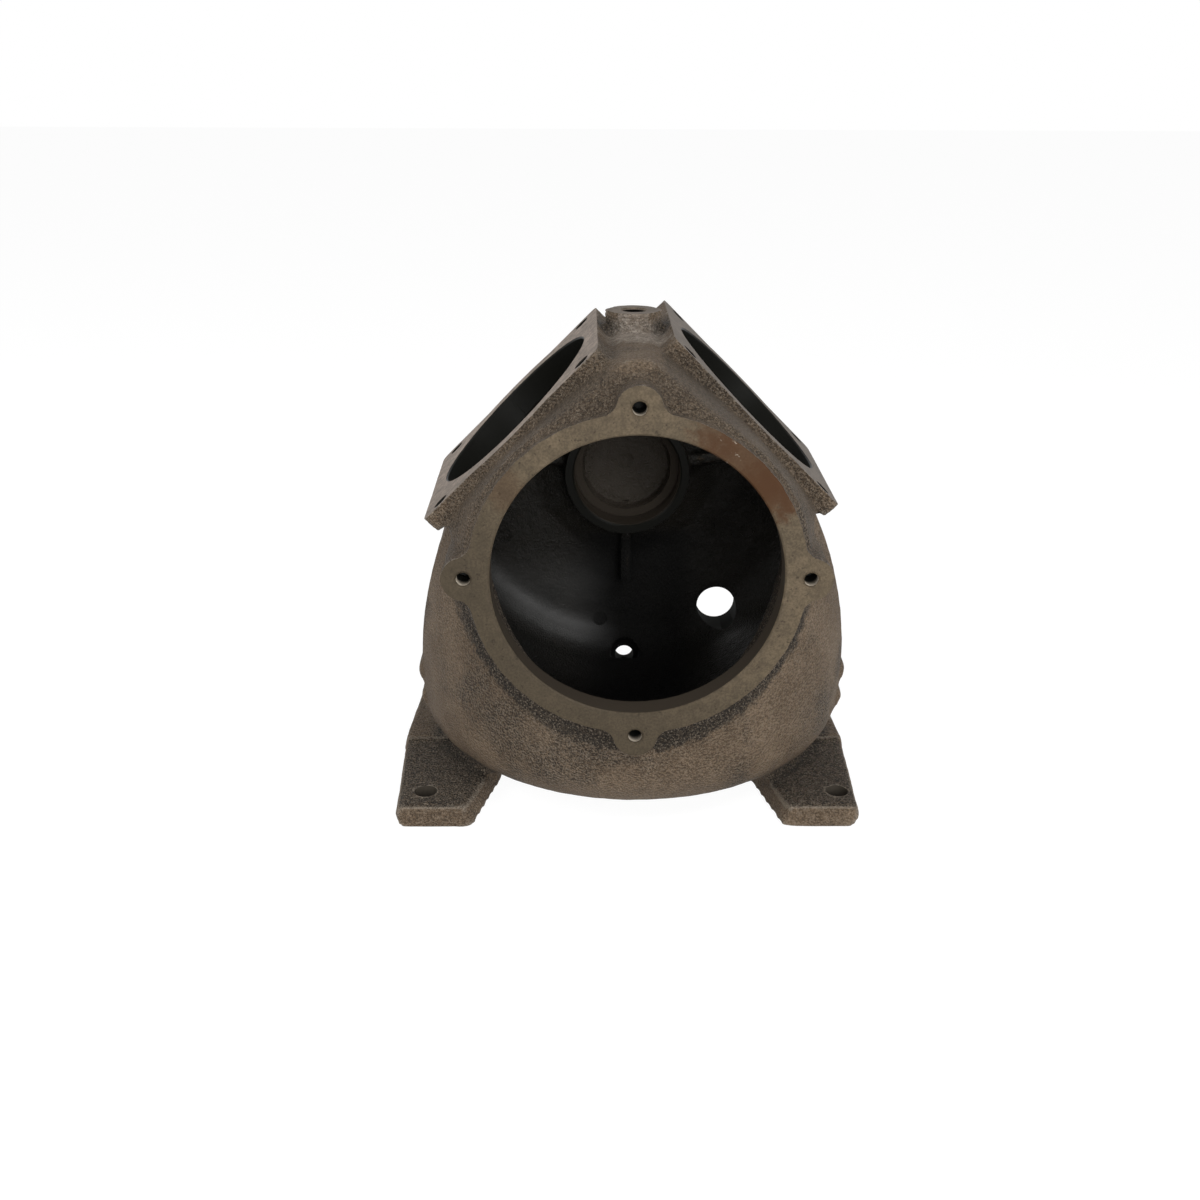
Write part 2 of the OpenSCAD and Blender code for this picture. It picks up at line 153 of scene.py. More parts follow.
class CrankcaseSizes(bpy.types.PropertyGroup):
    """Sizes of the machined faces and the cast skin, in metres."""

    ring_bore: bpy.props.FloatProperty(
        name="Front bore", description="Diameter of the bored front opening",
        default=0.140, min=0.120, max=0.150, unit="LENGTH")
    ring_bore_depth: bpy.props.FloatProperty(
        name="Register depth", description="Depth of the bored register",
        default=0.0142, min=0.010, max=0.020, unit="LENGTH")
    flange_circle: bpy.props.FloatProperty(
        name="Flange circle", description="Circle of the four flange holes",
        default=0.165, min=0.150, max=0.180, unit="LENGTH")
    seat_height: bpy.props.FloatProperty(
        name="Seat height", description="Distance of the cylinder seats from the crank axis",
        default=0.0865, min=0.080, max=0.095, unit="LENGTH")
    seat_bore: bpy.props.FloatProperty(
        name="Cylinder bore", description="Diameter of the bored cylinder openings",
        default=0.100, min=0.090, max=0.105, unit="LENGTH")
    seat_circle: bpy.props.FloatProperty(
        name="Seat circle", description="Circle of the four tapped holes round a cylinder",
        default=0.138, min=0.130, max=0.142, unit="LENGTH")
    left_y: bpy.props.FloatProperty(
        name="Left cylinder", description="Distance of the left cylinder behind the front face",
        default=0.0872, min=0.07, max=0.12, unit="LENGTH")
    right_y: bpy.props.FloatProperty(
        name="Right cylinder", description="Distance of the right cylinder behind the front face",
        default=0.1116, min=0.07, max=0.13, unit="LENGTH")
    tap_core: bpy.props.FloatProperty(
        name="Tap core", description="Core diameter of the tapped holes",
        default=0.0068, min=0.005, max=0.0084, unit="LENGTH")
    tap_depth: bpy.props.FloatProperty(
        name="Tap depth", description="Depth of the tapped holes",
        default=0.015, min=0.010, max=0.016, unit="LENGTH")
    grain: bpy.props.FloatProperty(
        name="Skin cell", description="Cell of the mesh of the cast skin",
        default=0.0019, min=0.0015, max=0.004, unit="LENGTH")
    skin_faces: bpy.props.IntProperty(
        name="Skin faces", description="Triangles of the cast skin before machining",
        default=150000, min=20000, max=170000)
    rounding: bpy.props.IntProperty(
        name="Rounding", description="Passes that round the edges and corners of the casting",
        default=3, min=0, max=20)
    foot_rounding: bpy.props.IntProperty(
        name="Foot rounding", description="Further passes for the inner edges of the feet",
        default=6, min=0, max=20)
    waviness: bpy.props.FloatProperty(
        name="Waviness", description="Height of the uneven spots of the cast skin",
        default=0.00022, min=0.0, max=0.001, unit="LENGTH")
    stock: bpy.props.FloatProperty(
        name="Stock", description="Iron left on the machined faces before they are cut",
        default=0.003, min=0.001, max=0.005, unit="LENGTH")


class CrankcaseColours(bpy.types.PropertyGroup):
    """Colours of the iron, the machined faces and the stains."""

    skin: bpy.props.FloatVectorProperty(
        name="Cast skin", description="Colour of the rough cast skin", subtype="COLOR",
        size=3, default=(0.122, 0.083, 0.051), min=0.0, max=1.0)
    skin_pale: bpy.props.FloatVectorProperty(
        name="Pale skin", description="Colour of the paler places of the skin", subtype="COLOR",
        size=3, default=(0.170, 0.120, 0.077), min=0.0, max=1.0)
    # Also the colour of the painted shade on the skin and its grains
    skin_dark: bpy.props.FloatVectorProperty(
        name="Dark skin", description="Colour of the dark grains and corners", subtype="COLOR",
        size=3, default=(0.016, 0.013, 0.010), min=0.0, max=1.0)
    ring: bpy.props.FloatVectorProperty(
        name="Front ring", description="Colour of the machined front ring", subtype="COLOR",
        size=3, default=(0.116, 0.089, 0.058), min=0.0, max=1.0)
    seat: bpy.props.FloatVectorProperty(
        name="Cylinder seats", description="Colour of the milled cylinder seats", subtype="COLOR",
        size=3, default=(0.290, 0.232, 0.190), min=0.0, max=1.0)
    # The near-black inside colour is painted shade of the hollow case
    hollow_shade: bpy.props.FloatVectorProperty(
        name="Shaded inside", description="Colour of the dark coat inside the case", subtype="COLOR",
        size=3, default=(0.0055, 0.0055, 0.0045), min=0.0, max=1.0)
    rust: bpy.props.FloatVectorProperty(
        name="Rust", description="Colour of the rust stains", subtype="COLOR",
        size=3, default=(0.048, 0.022, 0.010), min=0.0, max=1.0)


def sizes():
    """The sizes of the scene."""
    return bpy.context.scene.crankcase_sizes


def colours():
    """The colours of the scene."""
    return bpy.context.scene.crankcase_colours


def new_object(name, mesh):
    """Links a mesh to the scene as an object at the origin."""
    item = bpy.data.objects.new(name, mesh)
    bpy.context.scene.collection.objects.link(item)
    return item


def to_mesh(bm, name):
    """Turns a bmesh into a mesh and frees it."""
    mesh = bpy.data.meshes.new(name)
    bm.to_mesh(mesh)
    bm.free()
    return mesh


def bake_modifiers(item, name):
    """Replaces an object's mesh by the one its modifiers make."""
    graph = bpy.context.evaluated_depsgraph_get()
    mesh = bpy.data.meshes.new_from_object(item.evaluated_get(graph))
    mesh.name = name
    old = item.data
    item.modifiers.clear()
    item.data = mesh
    bpy.data.meshes.remove(old)


def towards(direction, place):
    """Matrix that turns +Z to a direction and moves the origin to a place."""
    turn = UP.rotation_difference(direction).to_matrix().to_4x4()
    return Matrix.Translation(place) @ turn


def lathe(bm, profile, matrix, steps):
    """Adds a closed body turned from (radius, height) points, which start and end on the axis."""
    fresh = [bm.verts.new((radius, 0.0, height)) for radius, height in profile]
    chain = [bm.edges.new(pair) for pair in zip(fresh, fresh[1:])]
    before = set(bm.verts) - set(fresh)
    bmesh.ops.spin(bm, geom=fresh + chain, cent=(0, 0, 0), axis=(0, 0, 1),
                   angle=2 * math.pi, steps=steps, use_merge=True)
    turned = [v for v in bm.verts if v not in before]
    bmesh.ops.remove_doubles(bm, verts=turned, dist=1e-6)
    turned = [v for v in bm.verts if v not in before]
    bmesh.ops.transform(bm, matrix=matrix, verts=turned)


def slab(bm, matrix, size, centre):
    """Adds a box of a size, centred at a place of the matrix's space."""
    made = bmesh.ops.create_cube(bm, size=1.0)
    local = Matrix.Translation(centre) @ Matrix.Diagonal((*size, 1.0))
    bmesh.ops.transform(bm, matrix=matrix @ local, verts=made["verts"])


def drill_profile(radius, depth, above=0.01):
    """Outline of a plain drill that reaches a depth below height 0."""
    return [(0, -depth), (radius, -depth), (radius, above), (0, above)]


def bore_profile(radius, depth, chamfer, above=0.006):
    """Outline of a plain bore of a depth below height 0, with a chamfered mouth."""
    return [(0, -depth), (radius, -depth), (radius, -chamfer),
            (radius + chamfer + above, above), (0, above)]


def thread_profile(core, outer, pitch, depth, mouth, above=0.004):
    """Outline of a tapped hole: a drill point, thread grooves and a countersunk mouth."""
    points = [(0, -depth - core * 0.45), (core, -depth)]
    height = -depth + pitch * 1.5
    while height < -(mouth - core) - pitch * 0.6:
        points += [(core, height), (outer, height + pitch * 0.45), (outer, height + pitch * 0.55)]
        height += pitch
    points += [(core, height), (core, -(mouth - core)), (mouth + above, above), (0, above)]
    return points


def seats():
    """Normal and middle of the two cylinder seats."""
    s = sizes()
    return [(LEFT_SEAT, Vector((0, s.left_y, 0)) + LEFT_SEAT * s.seat_height),
            (RIGHT_SEAT, Vector((0, s.right_y, 0)) + RIGHT_SEAT * s.seat_height)]


def tapped_places():
    """Direction and mouth of the twelve tapped holes, pointing out of the iron."""
    s = sizes()
    places = []
    for quarter in range(4):
        angle = quarter * math.pi / 2
        radius = s.flange_circle / 2
        places.append((-BACK, Vector((radius * math.cos(angle), 0, radius * math.sin(angle)))))
    for normal, middle in seats():
        down = Vector((normal.z * (1 if normal.x > 0 else -1), 0, -abs(normal.x)))
        half = s.seat_circle / 2 * SLOPE
        for a in (-1, 1):
            for b in (-1, 1):
                places.append((normal, middle + down * half * a + BACK * half * b))
    return places


def smooth(bm, verts, passes):
    """Rounds the surface round some points, a number of times."""
    for _ in range(passes):
        bmesh.ops.smooth_vert(bm, verts=verts, factor=0.5,
                              use_axis_x=True, use_axis_y=True, use_axis_z=True)


class CRANKCASE_OT_casting(bpy.types.Operator):
    """Makes the rough casting with stock on the faces that are cut later"""

    bl_idname = "crankcase.casting"
    bl_label = "Casting"

    def close_hole(self, v, direction, place, radius, depth):
        """Draws a point to the axis of a hole that it lies on."""
        offset = v.co - place
        along = offset.dot(direction)
        across = offset - direction * along
        if across.length < radius and -depth < along < MOUTH_REACH:
            v.co -= across * CLOSED_SHARE

    def stretch_front(self, v, distance):
        """Leaves stock in the front bore and on the front face."""
        s = sizes()
        if v.co.y < s.ring_bore_depth + 0.0004 and abs(distance - s.ring_bore / 2) < ON_BORE:
            v.co.x *= 0.975
            v.co.z *= 0.975
        if abs(v.co.y) < ON_FACE:
            v.co.y = -s.stock

    def stretch_bearing(self, v, distance):
        """Leaves stock in the bearing seat, on its recess and on the face of its boss."""
        if v.co.y > BEARING.y - 0.005 and 0.0308 < distance < 0.0325:
            v.co.x *= 0.94
            v.co.z *= 0.94
        if abs(v.co.y - RECESS_Y) < 1e-4 and distance < 0.030:
            v.co.y -= 0.0015
        if abs(v.co.y - BEARING.y) < ON_FACE and distance < 0.038:
            v.co.y -= 0.002

    def stretch_openings(self, v):
        """Leaves stock in the sight glass hole and on the filler boss."""
        offset = v.co - SIGHT_GLASS
        if v.co.y > 0.18 and math.hypot(offset.x, offset.z) < 0.0122:
            v.co.x -= offset.x * 0.1
            v.co.z -= offset.z * 0.1
        if abs(v.co.z - FILLER.z) < ON_FACE:
            v.co.z += 0.002

    def slope_foot(self, v):
        """Leans the inner side of the front end of a foot."""
        waist = 0.24 * max(0.0, 0.0685 - v.co.y)
        across = abs(v.co.x - FEET_MIDDLE_X) - 0.068 - waist
        if -0.1345 < v.co.z < -0.1325 and v.co.y < 0.060 and abs(across) < ON_BORE:
            v.co.x += math.copysign(0.0055, v.co.x)

    def stretch_seat(self, v, normal, middle):
        """Leaves stock in a cylinder opening and on its seat."""
        s = sizes()
        offset = v.co - middle
        along = offset.dot(normal)
        across = offset - normal * along
        if -0.026 < along < ON_FACE and abs(across.length - s.seat_bore / 2) < ON_BORE:
            v.co -= across * 0.03
        if abs(along) < ON_FACE:
            v.co += normal * s.stock

    def stretch(self, bm):
        """Leaves stock on machined faces and closes the holes that are cut later."""
        closed = [(direction, place, *TAP_REACH) for direction, place in tapped_places()]
        closed += [(-UP, place, *THROUGH_REACH) for place in FOOT_HOLES]
        closed += [(UP, FILLER, *FILLER_REACH), (BACK, DRAIN, *THROUGH_REACH)]
        for v in bm.verts:
            for hole in closed:
                self.close_hole(v, *hole)
            distance = math.hypot(v.co.x, v.co.z)
            self.stretch_front(v, distance)
            self.stretch_bearing(v, distance)
            self.stretch_openings(v)
            self.slope_foot(v)
            for normal, middle in seats():
                self.stretch_seat(v, normal, middle)

    def settle(self, bm, tree):
        """Draws the points of the cells back to the surface the cells were made from."""
        reach = sizes().grain
        for v in bm.verts:
            nearest = tree.find_nearest(v.co, reach)[0]
            if nearest is not None:
                v.co = v.co.lerp(nearest, 0.9)

    def roughen(self, bm):
        """Gives the cast skin its low uneven spots."""
        height = sizes().waviness
        for v in bm.verts:
            p = v.co
            wave = noise.noise(p * 55) + 0.6 * noise.noise(p * 140) + 0.45 * noise.noise(p * 330)
            v.co = p + v.normal * wave * height

    def refine(self, item, tree):
        """Settles, rounds and roughens the mesh of cells."""
        s = sizes()
        bm = bmesh.new()
        bm.from_mesh(item.data)
        self.settle(bm, tree)
        inner = [v for v in bm.verts
                 if v.co.z < -0.1275 and abs(v.co.x - FEET_MIDDLE_X) < 0.084]
        smooth(bm, inner, s.foot_rounding)
        smooth(bm, bm.verts, s.rounding)
        bm.normal_update()
        self.roughen(bm)
        bm.to_mesh(item.data)
        bm.free()
        item.data.update()

    def execute(self, context):
        s = sizes()
        bm = bmesh.new()
        bm.from_mesh(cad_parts["crankcase"].data)
        bmesh.ops.remove_doubles(bm, verts=bm.verts, dist=2e-6)
        self.stretch(bm)
        tree = BVHTree.FromBMesh(bm)
        item = new_object("crankcase_casting", to_mesh(bm, "crankcase_rough"))
        remesh = item.modifiers.new("Skin", "REMESH")
        remesh.mode = "VOXEL"
        remesh.voxel_size = s.grain
        remesh.adaptivity = 0.0
        bake_modifiers(item, "crankcase_skin")
        self.refine(item, tree)
        thin = item.modifiers.new("Thin", "DECIMATE")
        thin.ratio = min(1.0, s.skin_faces / (2 * len(item.data.polygons)))
        bake_modifiers(item, "crankcase_skin")
        return {"FINISHED"}


class CRANKCASE_OT_machining(bpy.types.Operator):
    """Cuts the machined faces, the bores and the tapped holes"""

    bl_idname = "crankcase.machining"
    bl_label = "Machining"

    def faces_tool(self):
        """Cutters of the front face, the two seats, the filler boss and the bearing boss."""
        bm = bmesh.new()
        slab(bm, Matrix.Identity(4), (0.3, 0.01, 0.3), (0, -0.005, 0))
        for normal, middle in seats():
            slab(bm, towards(normal, middle), (0.134, 0.134, 0.008), (0, 0, 0.004))
        slab(bm, Matrix.Translation(FILLER), (0.036, 0.036, 0.008), (0, 0, 0.004))
        lathe(bm, [(0, -0.01), (0.0385, -0.01), (0.0385, 0), (0, 0)], towards(BACK, BEARING), 48)
        return bm

    def bores_tool(self):
        """Cutters of the front register, the two cylinder bores and the bearing seat."""
        s = sizes()
        bm = bmesh.new()
        lathe(bm, bore_profile(s.ring_bore / 2, s.ring_bore_depth, 0.0008),
              towards(-BACK, Vector((0, 0, 0))), 160)
        for normal, middle in seats():
            lathe(bm, bore_profile(s.seat_bore / 2, 0.0215, 0.0008), towards(normal, middle), 128)
        lathe(bm, bore_profile(0.031, 0.017, 0.0012), towards(-BACK, BEARING), 96)
        return bm

    def holes_tool(self):
        """Cutters of the tapped holes, the foot holes, the sight glass hole and the drain."""
        s = sizes()
        bm = bmesh.new()
        for direction, place in tapped_places():
            lathe(bm, thread_profile(s.tap_core / 2, 0.0040, 0.00125, s.tap_depth, 0.0045),
                  towards(direction, place), 28)
        for place in FOOT_HOLES:
            lathe(bm, drill_profile(0.006, 0.018, 0.004), towards(-UP, place), 32)
        lathe(bm, thread_profile(0.0059, 0.0066, 0.00134, 0.030, 0.0070), towards(UP, FILLER), 32)
        lathe(bm, drill_profile(0.0120, 0.03), towards(BACK, SIGHT_GLASS), 48)
        lathe(bm, drill_profile(0.00575, 0.013), towards(BACK, DRAIN), 32)
        return bm

    def marks_tool(self):
        """Round marks of the core pins, cut as shallow hollows."""
        bm = bmesh.new()
        for place in PIN_MARKS:
            lathe(bm, drill_profile(0.0044, 0.004, 0.0007), towards(BACK, place), 24)
        lathe(bm, drill_profile(0.0048, 0.003, 0.0008), towards(BACK, RECESS_MARK), 24)
        return bm

    def cut(self, item, name, bm, material):
        """Adds a cut by a tool to the casting; gives the tool, which stays until the cut is made."""
        bmesh.ops.recalc_face_normals(bm, faces=bm.faces)
        tool = new_object("tool_" + name, to_mesh(bm, "tool_" + name))
        tool.data.materials.append(material)
        modifier = item.modifiers.new(name, "BOOLEAN")
        modifier.operation = "DIFFERENCE"
        modifier.solver = "MANIFOLD"
        modifier.material_mode = "TRANSFER"
        modifier.object = tool
        return tool

    def execute(self, context):
        item = bpy.data.objects["crankcase_casting"]
        skin = cast_material()
        machined = machined_material()
        item.data.materials.clear()
        item.data.materials.append(skin)
        tools = [self.cut(item, "faces", self.faces_tool(), machined),
                 self.cut(item, "bores", self.bores_tool(), machined),
                 self.cut(item, "holes", self.holes_tool(), machined),
                 self.cut(item, "marks", self.marks_tool(), skin)]
        bake_modifiers(item, "crankcase_casting")
        for tool in tools:
            mesh = tool.data
            bpy.data.objects.remove(tool)
            bpy.data.meshes.remove(mesh)
        if sum(len(p.vertices) - 2 for p in item.data.polygons) >= 200000:
            raise RuntimeError("the casting has too many triangles")
        for polygon in item.data.polygons:
            polygon.use_smooth = True
        item.data.set_sharp_from_angle(angle=math.radians(38))
        add_shelter(item)
        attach(item, "root")
        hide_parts("crankcase")
        return {"FINISHED"}


def sky_rays(count):
    """Directions over the half sphere round +Z, denser near +Z."""
    golden = math.pi * (3 - math.sqrt(5))
    rays = []
    for k in range(count):
        height = math.sqrt(1 - (k + 0.5) / count)
        radius = math.sqrt(1 - height * height)
        rays.append(Vector((radius * math.cos(k * golden), radius * math.sin(k * golden), height)))
    return rays


def cover(tree, v, rays):
    """Shares of the rays from a point that meet iron close by, and anywhere in reach."""
    turn = UP.rotation_difference(v.normal)
    start = v.co + v.normal * RAY_START
    close = wide = 0.0
    for ray in rays:
        distance = tree.ray_cast(start, turn @ ray, RAY_LENGTH)[3]
        if distance is not None:
            wide += 1.0
            close += max(0.0, 1.0 - distance / CLOSE_REACH)
    return close / len(rays), wide / len(rays)


def bend(v):
    """How sharply the surface turns outwards at a point, from 0 flat or hollow to 1."""
    ring = [e.other_vert(v).co - v.co for e in v.link_edges]
    reach = sum(r.length for r in ring) / len(ring)
    share = -sum(r.dot(v.normal) for r in ring) / len(ring) / max(reach, SHORT_EDGE)
    return min(1.0, max(0.0, share * 3.0))


def add_shelter(item):
    """Stores on each point how far iron close by and all iron hides it, and its bend."""
    bm = bmesh.new()
    bm.from_mesh(item.data)
    bm.normal_update()
    tree = BVHTree.FromBMesh(bm)
    rays = sky_rays(RAYS)
    covered = [cover(tree, v, rays) for v in bm.verts]
    values = {"corner": [close for close, wide in covered],
              "shelter": [wide for close, wide in covered],
              "edge": [bend(v) for v in bm.verts]}
    bm.free()
    for name, numbers in values.items():
        layer = item.data.attributes.new(name, "FLOAT", "POINT")
        layer.data.foreach_set("value", numbers)


class Nodes:
    """Short way to add and join nodes of one tree."""

    def __init__(self, tree):
        self.tree = tree

    def add(self, kind, **values):
        node = self.tree.nodes.new(kind)
        for key, value in values.items():
            setattr(node, key, value)
        return node

    def join(self, start, end):
        self.tree.links.new(start, end)

    def split(self, vector):
        """The three parts of a vector."""
        node = self.add("ShaderNodeSeparateXYZ")
        self.join(vector, node.inputs[0])
        return [node.outputs[name] for name in "XYZ"]

    def attribute(self, name):
        return self.add("ShaderNodeAttribute", attribute_name=name).outputs["Fac"]

    def noise(self, coordinates, scale, detail=2.0, roughness=0.5):
        node = self.add("ShaderNodeTexNoise")
        node.inputs["Scale"].default_value = scale
        node.inputs["Detail"].default_value = detail
        node.inputs["Roughness"].default_value = roughness
        self.join(coordinates, node.inputs["Vector"])
        return node.outputs["Fac"]

    def step(self, value, low, high, out_low=0.0, out_high=1.0):
        """Maps a value from one range to another, smoothly and clamped."""
        node = self.add("ShaderNodeMapRange", interpolation_type="SMOOTHSTEP")
        self.join(value, node.inputs["Value"])
        ends = {"From Min": low, "From Max": high, "To Min": out_low, "To Max": out_high}
        for key, number in ends.items():
            node.inputs[key].default_value = number
        return node.outputs["Result"]

    def fade(self, value, low, high):
        """1 up to a low value, 0 from a high one on."""
        return self.step(value, low, high, 1.0, 0.0)

    def band(self, value, low, full, ends, gone):
        """Rises from 0 to 1 between two values and falls back between two others."""
        return self.math("MULTIPLY", self.step(value, low, full), self.fade(value, ends, gone))

    def math(self, operation, a, b):
        node = self.add("ShaderNodeMath", operation=operation)
        for socket, value in zip(node.inputs, (a, b)):
            if isinstance(value, (int, float)):
                socket.default_value = value
            else:
                self.join(value, socket)
        return node.outputs["Value"]

    def product(self, first, *others):
        for other in others:
            first = self.math("MULTIPLY", first, other)
        return first

    def highest(self, first, *others):
        for other in others:
            first = self.math("MAXIMUM", first, other)
        return first

    def flip(self, value):
        return self.math("SUBTRACT", 1.0, value)

    def radius(self, a, b):
        """Distance from the axis that two coordinates are measured from."""
        squares = self.math("ADD", self.math("MULTIPLY", a, a), self.math("MULTIPLY", b, b))
        return self.math("POWER", squares, 0.5)

    def mix(self, factor, a, b):
        node = self.add("ShaderNodeMix", data_type="RGBA")
        for socket, value in ((node.inputs[0], factor), (node.inputs[6], a), (node.inputs[7], b)):
            if isinstance(value, (int, float)):
                socket.default_value = value
            elif isinstance(value, (tuple, list)):
                socket.default_value = (*value[:3], 1.0)
            else:
                self.join(value, socket)
        return node.outputs[2]

    def layers(self, colour, coats):
        """Lays coats of (mask, colour) over a colour, in their order."""
        for mask, tint in coats:
            colour = self.mix(mask, colour, tint)
        return colour

    def bump(self, shader, height, strength, distance):
        node = self.add("ShaderNodeBump")
        node.inputs["Strength"].default_value = strength
        node.inputs["Distance"].default_value = distance
        self.join(height, node.inputs["Height"])
        self.join(node.outputs["Normal"], shader.inputs["Normal"])


def group_frame(name, inputs, outputs):
    """Makes a node group with named sockets; gives its tree, input and output nodes."""
    tree = bpy.data.node_groups.new(name, "ShaderNodeTree")
    for label, kind, default in inputs:
        socket = tree.interface.new_socket(name=label, in_out="INPUT", socket_type=kind)
        if default is not None:
            socket.default_value = default
    for label in outputs:
        tree.interface.new_socket(name=label, in_out="OUTPUT", socket_type="NodeSocketFloat")
    return tree, tree.nodes.new("NodeGroupInput"), tree.nodes.new("NodeGroupOutput")


def iron_grain_group():
    """Grain of sand-cast iron: a height for the bump, masks of grains, patches and flecks, and a
    painted light side of the grains.
    """
    found = bpy.data.node_groups.get("iron_grain")
    if found:
        return found
    tree, entry, leave = group_frame(
        "iron_grain",
        [("Vector", "NodeSocketVector", None), ("Fine", "NodeSocketFloat", 1.0),
         ("Coarse", "NodeSocketFloat", 1.0)],
        ["Height", "Grains", "Patches", "Flecks", "Painted light side"])
    n = Nodes(tree)
    place = entry.outputs["Vector"]
    fine = n.noise(place, 1700, 2, 0.6)
    middle = n.noise(place, 900, 2, 0.5)
    coarse = n.noise(place, 190, 3, 0.6)
    height = n.math("ADD", n.math("MULTIPLY", fine, entry.outputs["Fine"]),
                    n.math("MULTIPLY", n.math("ADD", middle, coarse), entry.outputs["Coarse"]))
    n.join(height, leave.inputs["Height"])
    grains = n.math("ADD", n.math("MULTIPLY", middle, 0.75), n.math("MULTIPLY", coarse, 0.25))
    n.join(n.step(grains, 0.40, 0.58), leave.inputs["Grains"])
    n.join(n.step(n.noise(place, 34, 4, 0.6), 0.40, 0.62), leave.inputs["Patches"])
    n.join(n.noise(place, 1150, 1, 0.4), leave.inputs["Flecks"])
    # Painted light and shade: grains are pale on their upper front side and dark on the other, as if
    # lit from above and in front
    above = n.add("ShaderNodeVectorMath", operation="ADD")
    n.join(place, above.inputs[0])
    above.inputs[1].default_value = (0.0001, -0.0003, 0.0004)
    fall = n.math("SUBTRACT", n.noise(place, 840, 2, 0.5), n.noise(above.outputs[0], 840, 2, 0.5))
    n.join(n.step(fall, -0.13, 0.13), leave.inputs["Painted light side"])
    return tree


def stain_group():
    """Mask of a stain round a point, with a ragged edge."""
    found = bpy.data.node_groups.get("ragged_stain")
    if found:
        return found
    tree, entry, leave = group_frame(
        "ragged_stain",
        [("Vector", "NodeSocketVector", None), ("Centre", "NodeSocketVector", (0, 0, 0)),
         ("Radius", "NodeSocketFloat", 0.02)],
        ["Mask"])
    n = Nodes(tree)
    away = n.add("ShaderNodeVectorMath", operation="DISTANCE")
    n.join(entry.outputs["Vector"], away.inputs[0])
    n.join(entry.outputs["Centre"], away.inputs[1])
    share = n.math("DIVIDE", away.outputs["Value"], entry.outputs["Radius"])
    wander = n.math("MULTIPLY", n.noise(entry.outputs["Vector"], 120, 5, 0.7), 1.3)
    n.join(n.step(n.math("SUBTRACT", wander, share), -0.25, 0.25), leave.inputs["Mask"])
    return tree


def place_group(n, tree, coordinates, **values):
    """Adds a group node with its own values and the object's coordinates; gives its outputs."""
    node = n.add("ShaderNodeGroup", node_tree=tree)
    n.join(coordinates, node.inputs["Vector"])
    for label, value in values.items():
        node.inputs[label].default_value = value
    return node.outputs


def stain(n, place, centre, radius):
    """Mask of one stain."""
    return place_group(n, stain_group(), place, Centre=centre, Radius=radius)["Mask"]


def start_material(name, specular):
    """Makes a material without metal; gives it, its nodes, its shader and its coordinates."""
    material = bpy.data.materials.new(name)
    material.use_nodes = True
    n = Nodes(material.node_tree)
    shader = material.node_tree.nodes["Principled BSDF"]
    shader.inputs["Metallic"].default_value = 0.0
    shader.inputs["Specular IOR Level"].default_value = specular
    return material, n, shader, n.add("ShaderNodeTexCoord").outputs["Object"]


